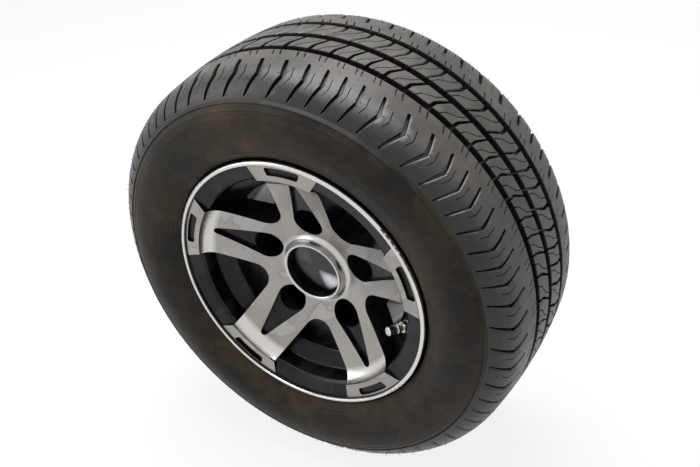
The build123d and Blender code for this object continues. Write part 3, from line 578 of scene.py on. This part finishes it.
def shoulder_features():
    """What both shoulders share: the bent grooves, the bent sipes and the dimples."""
    return [
        strip([(-0.29, 51.5), (0.0, 73.0), (-0.37, 89.3)], [3.0, 3.9, 1.7], 4.4, 0.5, 1.5),
        strip([(0.287, 62.0), (0.42, 73.0), (0.30, 79.5)], [0.9, 1.0, 0.8], 2.4, 0.3),
        pit(0.14, 71.5, 0.9, 0.5),
        pit(-0.16, 71.5, 0.9, 0.5),
        pit(-0.13, 54.0, 0.9, 0.5),
        pit(0.26, 49.0, 0.9, 0.5),
    ]


def near_features():
    """Grooves of the half on the face side, besides those all round."""
    return shoulder_features() + [
        strip([(-0.01, 28.5), (0.03, 18.5), (0.41, 2.6)], [3.8, 3.0, 1.9], 6.4, 0.5, 1.3),
        strip([(0.34, 29.0), (0.37, 26.0), (0.49, 20.0), (0.92, 12.5), (1.10, 5.6)], [1.0] * 5, 4.5, 0.3),
        strip([(-0.217, 34.8), (-0.083, 43.5)], [1.3, 1.3], 2.0, 0.3),
        strip([(0.083, 34.8), (0.217, 43.5)], [1.3, 1.3], 2.0, 0.3),
    ]


def far_features():
    """Grooves of the half on the hub side, besides those all round."""
    return shoulder_features() + [
        strip([(-0.01, 31.0), (0.03, 20.0), (0.45, 2.2)], [3.8, 3.0, 1.9], 6.4, 0.5, 1.3),
        strip([(0.33, 31.5), (0.36, 28.0), (0.49, 21.0), (0.95, 12.0), (1.12, 4.6)], [1.0] * 5, 4.5, 0.3),
        strip([(0.24, 35.9), (0.40, 46.5)], [1.3, 1.3], 2.0, 0.3),
        strip([(-0.08, 35.9), (0.08, 46.5)], [1.3, 1.3], 2.0, 0.3),
    ]


def outline(feature, inset, shift):
    """Closed outline of a groove, drawn in by an inset, in flat millimetres."""
    points = [Vector(((x + shift) * PITCH_MM, t)) for x, t in feature["points"]]
    halves = [w / 2 - inset for w in feature["widths"]]
    if len(points) == 1:
        centre, radius = points[0], halves[0]
        return [centre + Vector((math.cos(a), math.sin(a))) * radius
                for a in [math.pi / 4 * i for i in range(8)]]
    first = (points[1] - points[0]).normalized()
    last = (points[-1] - points[-2]).normalized()
    points = [points[0] + first * inset] + points[1:-1] + [points[-1] - last * inset]
    left, right = [], []
    for i, point in enumerate(points):
        ahead = points[i + 1] - points[i] if i < len(points) - 1 else last
        behind = points[i] - points[i - 1] if i else first
        ahead, behind = ahead.normalized(), behind.normalized()
        middle = (ahead + behind).normalized()
        side = Vector((middle.y, -middle.x))
        reach = halves[i] / max(0.4, side.dot(Vector((ahead.y, -ahead.x))))
        right.append(point + side * reach)
        left.append(point - side * reach)
    return right + left[::-1]


def bevel_outline(feature, shift):
    """Outline of a groove with the bevel strip along its right side added."""
    edge = outline(feature, 0.0, shift)
    count = len(feature["points"])
    step = Vector((feature["bevel"], 0))
    if edge[0].x < edge[count].x:
        return edge[:count] + [point + step for point in edge[count:]]
    return [point + step for point in edge[:count]] + edge[count:]


def inside_distance(point, loop):
    """Distance from a point to a closed outline, positive inside it."""
    best = 1e9
    inside = False
    for a, b in zip(loop, loop[1:] + loop[:1]):
        run = b - a
        share = max(0.0, min(1.0, (point - a).dot(run) / max(run.length_squared, 1e-12)))
        best = min(best, (point - a - run * share).length)
        if (a.y > point.y) != (b.y > point.y):
            if point.x < a.x + (point.y - a.y) / (b.y - a.y) * run.x:
                inside = not inside
    return best if inside else -best


# Vent hairs of one pitch: share of the pitch, width across the tread, height
HAIRS = ((0.10, 66.0, 1.6), (0.62, 78.0, 3.2), (0.22, 84.0, 2.6), (0.80, 88.5, 3.6))


def add_hair(bm, x, y, height):
    """A thin spike of rubber left by a vent of the mould, standing on the shoulder."""
    t = along(y)
    base = []
    for i in range(4):
        a = math.pi / 2 * i
        width, radius = tread_place(t + HAIR_R * math.sin(a), 0.3)
        base.append(bm.verts.new((x + HAIR_R * math.cos(a) / PITCH_MM, width * MM, radius * MM)))
    width, radius = tread_place(t + 0.25 * height, -height)
    tip = bm.verts.new((x + 0.2 * height / PITCH_MM, width * MM, radius * MM))
    for a, b in zip(base, base[1:] + base[:1]):
        bm.faces.new((a, b, tip))
    bm.faces.new(base[::-1])


class Pitch:
    """One pitch of half the tread, meshed flat: every groove with its walls and its floor."""

    def __init__(self, features, groove, centre_groove):
        self.start, self.end = HALF_START, ALONG[-1]
        self.rings = [groove, centre_groove]
        self.cuts = []
        for feature in features:
            for shift in (-2, -1, 0, 1):
                self.cuts.append((
                    outline(feature, 0.0, shift), outline(feature, feature["draft"], shift),
                    bevel_outline(feature, shift) if feature["bevel"] else None, feature,
                ))

    def depth(self, point):
        """How far the rubber lies below the surface at a flat place."""
        deepest = 0.0
        for low, high, depth, draft in self.rings:
            reach = min(point.y - low, high - point.y)
            if reach > 0:
                deepest = max(deepest, depth * min(1.0, reach / draft))
        for outer, inner, bevel, feature in self.cuts:
            xs = [p.x for p in outer]
            if not min(xs) - 3 < point.x < max(xs) + 3:
                continue
            reach = inside_distance(point, outer)
            if reach > 0:
                deepest = max(deepest, feature["depth"] * min(1.0, reach / feature["draft"]))
            if bevel:
                across = min(1.0, inside_distance(point, bevel) / feature["bevel"])
                deepest = max(deepest, 0.9 * across)
        return deepest

    def mesh(self, name):
        """The flat pitch: X its share of the pitch, Y the width, Z the radius."""
        width = PITCH_MM
        points, edges = [], []

        def chain(loop, close=True):
            first = len(points)
            points.extend(loop)
            count = len(loop)
            for i in range(count if close else count - 1):
                edges.append((first + i, first + (i + 1) % count))

        for outer, inner, bevel, feature in self.cuts:
            xs = [p.x for p in outer]
            if max(xs) < -2 or min(xs) > width + 2:
                continue
            chain(outer)
            chain(inner)
            if bevel:
                chain(bevel)
        levels = [self.start, self.end]
        for low, high, depth, draft in self.rings:
            levels += [low, low + draft, high - draft, high]
        levels += [along(y) for y in ROW_WIDTHS]
        levels = sorted(t for t in levels if self.start <= t <= self.end)
        columns = [0.0, 0.25, 0.5, 0.75, 1.0]
        for t in levels:
            chain([Vector((x * width, t)) for x in columns], close=False)
        for x in (0.0, 1.0):
            chain([Vector((x * width, t)) for t in levels], close=False)
        result = delaunay_2d_cdt(points, edges, [], 0, 1e-4)
        flat, faces = result[0], result[2]
        bm = bmesh.new()
        sunk = bm.verts.layers.float.new("sunk")
        verts = {}

        def vert(i):
            if i not in verts:
                spot = Vector((min(max(flat[i].x, 0.0), width), flat[i].y))
                depth = self.depth(spot)
                y, radius = tread_place(spot.y, depth)
                verts[i] = bm.verts.new((spot.x / width, y * MM, radius * MM))
                verts[i][sunk] = depth
            return verts[i]

        for face in faces:
            middle = sum((flat[i] for i in face), Vector((0, 0))) / len(face)
            if 0 < middle.x < width and self.start < middle.y < self.end:
                bm.faces.new([vert(i) for i in face])
        last = {}
        for i, v in verts.items():
            if abs(flat[i].y - self.end) < 1e-3:
                last[round(flat[i].x / width, 3)] = v
        row = [last[x] for x in sorted(last)]
        shares = sorted(last)
        for radius, y in side_rows():
            following = [bm.verts.new((x, y * MM, radius * MM)) for x in shares]
            for a, b, c, d in zip(row, row[1:], following[1:], following):
                bm.faces.new((a, b, c, d))
            row = following
        for x, y, height in HAIRS:
            add_hair(bm, x, y, height)
        mesh = bpy.data.meshes.new(name)
        bm.to_mesh(mesh)
        bm.free()
        return mesh


# Tyre: the pitches set round it

# Short, middle and long pitches in their order, so that the tyre doesn't hum
PITCH_ORDER = "SSSSMMLLLLMSSSMLLMSSMMSSMLLMLMSSSM" + "LLMSSMLLLMMSMLLMSMLMSSMLSMLMSM"
PITCH_DEGREES = {"S": 4.65, "M": 5.68, "L": 6.75}
FIRST_PITCH = 145.5
FAR_SHIFT = 9.1


def pitch_points(far):
    """A point for each pitch, X its start in radians, with the pitch's turn as an attribute."""
    unit = 360 / sum(PITCH_DEGREES[letter] for letter in PITCH_ORDER)
    turns = [PITCH_DEGREES[letter] * unit for letter in PITCH_ORDER]
    starts, angle = [], FIRST_PITCH
    for turn in turns:
        starts.append(angle)
        angle -= turn
    if far:
        starts = [a - FAR_SHIFT for a in starts]
        scales = [(math.radians(turns[i - 1]), -1.0, 1.0) for i in range(len(turns))]
    else:
        scales = [(-math.radians(turn), 1.0, 1.0) for turn in turns]
    mesh = bpy.data.meshes.new("pitch places")
    mesh.from_pydata([(math.radians(a), 0, 0) for a in starts], [], [])
    spread = mesh.attributes.new("spread", "FLOAT_VECTOR", "POINT")
    for item, scale in zip(spread.data, scales):
        item.vector = scale
    return mesh


def round_the_axis_tree():
    """Geometry nodes that set a flat pitch at each point, then bend the row into a ring."""
    tree = bpy.data.node_groups.new("Set round the wheel axis", "GeometryNodeTree")
    face = tree.interface
    face.new_socket("Places", in_out="INPUT", socket_type="NodeSocketGeometry")
    face.new_socket("Pitch", in_out="INPUT", socket_type="NodeSocketObject")
    join = face.new_socket("Join within", in_out="INPUT", socket_type="NodeSocketFloat")
    join.default_value = JOIN_WITHIN * MM
    face.new_socket("Finish", in_out="INPUT", socket_type="NodeSocketMaterial")
    face.new_socket("Ring", in_out="OUTPUT", socket_type="NodeSocketGeometry")
    entry = tree.nodes.new("NodeGroupInput")
    leave = tree.nodes.new("NodeGroupOutput")
    pitch = add(tree, "GeometryNodeObjectInfo", {"Object": entry.outputs["Pitch"]})
    spread = add(tree, "GeometryNodeInputNamedAttribute", {"Name": "spread"}, data_type="FLOAT_VECTOR")
    row = add(tree, "GeometryNodeInstanceOnPoints", {
        "Points": entry.outputs["Places"], "Instance": pitch.outputs["Geometry"],
        "Scale": spread.outputs["Attribute"],
    })
    real = add(tree, "GeometryNodeRealizeInstances", {"Geometry": row.outputs["Instances"]})
    place = tree.nodes.new("GeometryNodeInputPosition")
    axes = add(tree, "ShaderNodeSeparateXYZ", {0: place.outputs[0]})
    across = math_node(tree, "MULTIPLY", axes.outputs[2], math_node(tree, "COSINE", axes.outputs[0]))
    upwards = math_node(tree, "MULTIPLY", axes.outputs[2], math_node(tree, "SINE", axes.outputs[0]))
    bent = add(tree, "ShaderNodeCombineXYZ", {0: across, 1: axes.outputs[1], 2: upwards})
    ring = add(tree, "GeometryNodeSetPosition", {"Geometry": real.outputs[0], "Position": bent.outputs[0]})
    merged = add(tree, "GeometryNodeMergeByDistance", {
        "Geometry": ring.outputs[0], "Distance": entry.outputs["Join within"],
    })
    finish = add(tree, "GeometryNodeSetMaterial", {
        "Geometry": merged.outputs[0], "Material": entry.outputs["Finish"],
    })
    tree.links.new(finish.outputs[0], leave.inputs[0])
    return tree


def ring_mesh(tree, pitch, far, name):
    """Half of the tyre: its pitch repeated round the axis."""
    flat = new_object(name + "_pitch", pitch)
    places = new_object(name + "_places", pitch_points(far))
    modifier = places.modifiers.new("around", "NODES")
    modifier.node_group = tree
    sockets = {item.name: item.identifier for item in tree.interface.items_tree if item.in_out == "INPUT"}
    modifier[sockets["Pitch"]] = flat
    modifier[sockets["Join within"]] = JOIN_WITHIN * MM
    modifier[sockets["Finish"]] = TREAD
    mesh = baked(places, name)
    for spare in (flat, places):
        bpy.data.objects.remove(spare)
    return mesh


def zip_rings(bm, one, other):
    """Close the strip between two rings of vertices that have their own spacing."""
    def turn(v):
        return math.atan2(v.co.z, v.co.x)
    one = sorted(one, key=turn)
    other = sorted(other, key=turn)
    i = j = 0
    while i < len(one) or j < len(other):
        a, b = one[i % len(one)], other[j % len(other)]
        next_a = turn(one[(i + 1) % len(one)]) + (2 * math.pi if i + 1 >= len(one) else 0)
        next_b = turn(other[(j + 1) % len(other)]) + (2 * math.pi if j + 1 >= len(other) else 0)
        if j >= len(other) or (i < len(one) and next_a < next_b):
            bm.faces.new((a, one[(i + 1) % len(one)], b))
            i += 1
        else:
            bm.faces.new((a, other[(j + 1) % len(other)], b))
            j += 1


def build_tyre():
    """The whole tyre as one closed mesh."""
    near_ring = (along(26.0), along(34.2), 7.4, 0.9)
    far_ring = (along(28.5), along(37.5), 7.4, 0.9)
    near = Pitch(near_features(), near_ring, (-20.0, along(5.0), 7.4, 0.9)).mesh("near pitch")
    far = Pitch(far_features(), far_ring, (-20.0, along(4.0), 7.4, 0.9)).mesh("far pitch")
    for v in (*near.vertices, *far.vertices):
        v.co.y = -v.co.y
    tree = round_the_axis_tree()
    bm = bmesh.new()
    bm.from_mesh(ring_mesh(tree, near, False, "near_half"))
    bm.from_mesh(ring_mesh(tree, far, True, "far_half"))
    rims = {}
    for edge in bm.edges:
        if len(edge.link_faces) == 1:
            for v in edge.verts:
                radius = math.hypot(v.co.x, v.co.z)
                level = "tread" if radius > 222 * MM else "liner"
                if abs(v.co.y) < 1 * MM:
                    rims.setdefault((level, v.co.y < 0), set()).add(v)
    for level in ("tread", "liner"):
        zip_rings(bm, rims[(level, True)], rims[(level, False)])
    bmesh.ops.recalc_face_normals(bm, faces=bm.faces)
    mesh = bpy.data.meshes.new("tyre_rubber")
    bm.to_mesh(mesh)
    bm.free()
    mesh.materials.clear()
    mesh.materials.append(TREAD)
    mesh.materials.append(SIDEWALL)
    for face in mesh.polygons:
        corners = [mesh.vertices[i].co for i in face.vertices]
        reach = max(math.hypot(corner.x, corner.z) for corner in corners)
        face.material_index = 1 if reach < (RIB_R + RIB_HALF + 0.01) * MM else 0
    smooth_by_angle(mesh, 32)
    return new_object("tyre_rubber", mesh)


tyre = build_tyre()
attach(tyre, "wheel")
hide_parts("tyre")


# Wheel: the turned face stays bright, all else is painted

BOSS_IN, BOSS_OUT, DISH_OUT, STEP_OUT, LIP_IN = 30.35, 42.0, 110.0, 121.35, 137.95
DISH_ARC = ((BOSS_OUT, 40.6), (76.0, 29.95), (DISH_OUT, 17.3))
STEP_ARC = ((DISH_OUT, 17.3), (121.6 - 11.6 * 0.32, 3.0 + 14.3 * 0.55), (121.3, 4.6))
RIM_DEPTH = 3.0


def arc_depth(radius, start, middle, end):
    """Depth at a radius on the arc through three (radius, depth) points."""
    (ax, ay), (bx, by), (cx, cy) = start, middle, end
    d = 2 * (ax * (by - cy) + bx * (cy - ay) + cx * (ay - by))
    a, b, c = ax * ax + ay * ay, bx * bx + by * by, cx * cx + cy * cy
    ux = (a * (by - cy) + b * (cy - ay) + c * (ay - by)) / d
    uy = (a * (cx - bx) + b * (ax - cx) + c * (bx - ax)) / d
    size = math.hypot(ax - ux, ay - uy)
    fall = math.sqrt(max(0.0, size * size - (radius - ux) ** 2))
    return uy + fall if by > uy else uy - fall


def turned_depth(radius):
    """Depth of the turned face at a radius, the boss or lip by name, or None where it isn't turned."""
    if radius < BOSS_IN:
        return None
    if radius < BOSS_OUT:
        return "boss"
    if radius < DISH_OUT:
        return arc_depth(radius, *DISH_ARC)
    if radius < STEP_OUT:
        return arc_depth(radius, *STEP_ARC)
    if radius < LIP_IN:
        return RIM_DEPTH
    return "lip"


def is_turned(corner):
    """Whether a corner of the wheel's mesh lies on a surface that the lathe cut."""
    radius = math.hypot(corner.x, corner.z) / MM
    depth = corner.y / MM - LIP_DEPTH
    level = turned_depth(radius)
    if level is None:
        return False
    if level == "boss":
        return depth < 43.5
    if level == "lip":
        return depth < RIM_DEPTH + 0.1
    return abs(depth - level) < 0.12


def build_wheel():
    """Cast wheel with its turned face and painted recesses."""
    mesh = merged_copy("wheel", "alloy_wheel", 28, 0.002)
    mesh.materials.clear()
    mesh.materials.append(PAINT)
    mesh.materials.append(TURNED)
    turned = [is_turned(v.co) for v in mesh.vertices]
    for face in mesh.polygons:
        face.material_index = 1 if all(turned[i] for i in face.vertices) else 0
    return new_object("alloy_wheel", mesh)


alloy = build_wheel()
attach(alloy, "wheel")
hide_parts("wheel")


# Smaller pieces: joined-up copies of their solids with their own finish

def dress(node, body, material):
    """A finished copy of a small solid."""
    mesh = merged_copy(node, node + "_finished", 30, 0.0005)
    mesh.materials.clear()
    mesh.materials.append(material)
    piece = new_object(node + "_finished", mesh)
    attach(piece, body)
    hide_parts(node)


dress("cap_body", "wheel", CAP_PLASTIC)
dress("cap_plate", "wheel", SPUN_PLATE)
dress("cap_wire", "wheel", SPRING_STEEL)
dress("valve_stem", "wheel", NICKEL)
dress("valve_grommet", "wheel", SEAL_RUBBER)
dress("valve_washer", "wheel", NICKEL)
dress("valve_nut", "wheel", NICKEL)
dress("valve_cap", "valve_cap", NICKEL)
dress("valve_cap_seal", "cap_lift", SEAL_RUBBER)
dress("core_plug", "wheel", BRASS)
dress("core_barrel", "wheel", BRASS)
dress("core_gasket", "wheel", SEAL_RUBBER)
dress("core_spring", "wheel", SPRING_STEEL)
dress("core_pin", "core_pin", BRASS)
dress("core_cup", "core_pin", BRASS)
dress("core_cup_seal", "core_pin", SEAL_RUBBER)


# Floor, light and camera

FLOOR_HALF = 6.0
FLOOR_Z = -0.2335


def seen_directly(tree):
    """1 for the rays of the camera, of mirrors and of glass, 0 for the light on the object."""
    rays = tree.nodes.new("ShaderNodeLightPath").outputs
    mirrored = math_node(tree, "MAXIMUM", rays["Is Glossy Ray"], rays["Is Transmission Ray"])
    return math_node(tree, "MAXIMUM", rays["Is Camera Ray"], mirrored)


def white_for_camera(name, colour, share):
    """Pale surface that the camera and mirrors see as nearly white, with its shadow kept."""
    material = bpy.data.materials.new(name)
    material.use_nodes = True
    tree = material.node_tree
    tree.nodes.clear()
    amount = math_node(tree, "MULTIPLY", seen_directly(tree), share)
    matt = add(tree, "ShaderNodeBsdfDiffuse", {"Color": (*colour, 1)})
    glow = add(tree, "ShaderNodeEmission", {"Color": (1, 1, 1, 1), "Strength": 1.0})
    mixed = add(tree, "ShaderNodeMixShader", {0: amount, 1: matt.outputs[0], 2: glow.outputs[0]})
    leave = tree.nodes.new("ShaderNodeOutputMaterial")
    tree.links.new(mixed.outputs[0], leave.inputs["Surface"])
    return material


def build_floor():
    """Wide pale floor under the tyre."""
    bm = bmesh.new()
    ways = ((-1, -1), (1, -1), (1, 1), (-1, 1))
    bm.faces.new([bm.verts.new((x * FLOOR_HALF, y * FLOOR_HALF, FLOOR_Z)) for x, y in ways])
    mesh = bpy.data.meshes.new("floor")
    bm.to_mesh(mesh)
    bm.free()
    mesh.materials.append(white_for_camera("pale floor", (0.8, 0.8, 0.8), 0.85))
    floor = new_object("floor", mesh)


def area_light(name, place, size, power):
    """Soft oblong lamp aimed at the middle of the wheel."""
    lamp = bpy.data.lights.new(name, "AREA")
    lamp.shape = "RECTANGLE"
    lamp.size, lamp.size_y = size
    lamp.energy = power
    holder = bpy.data.objects.new(name, lamp)
    scene.collection.objects.link(holder)
    holder.location = place
    holder.rotation_euler = (-Vector(place)).to_track_quat("-Z", "Y").to_euler()


def build_world():
    """Even pale surroundings: white to the camera, softer on the object."""
    world = bpy.data.worlds.new("surroundings")
    scene.world = world
    world.use_nodes = True
    tree = world.node_tree
    tree.nodes.clear()
    strength = ramp(tree, seen_directly(tree), 0.0, 1.0, 0.35, 1.0)
    back = add(tree, "ShaderNodeBackground", {"Color": (1, 1, 1, 1), "Strength": strength})
    leave = tree.nodes.new("ShaderNodeOutputWorld")
    tree.links.new(back.outputs[0], leave.inputs["Surface"])


def build_camera():
    """Camera at the photograph's place."""
    lens = bpy.data.cameras.new("camera")
    lens.lens = 51.2
    lens.sensor_width = 36.0
    lens.clip_start = 0.01
    camera = bpy.data.objects.new("camera", lens)
    scene.collection.objects.link(camera)
    camera.location = (0.49145, -0.73717, 0.58457)
    camera.rotation_euler = [math.radians(v) for v in (56.897, 4.912, 29.842)]
    scene.camera = camera


build_floor()
build_world()
build_camera()
area_light("overhead", (-0.2, 0.2, 1.6), (1.4, 1.4), 48)
area_light("left", (-1.5, -1.0, 0.9), (1.2, 1.2), 10)
area_light("right", (1.6, 0.4, 0.8), (0.8, 1.2), 2)
scene.view_settings.view_transform = "Standard"
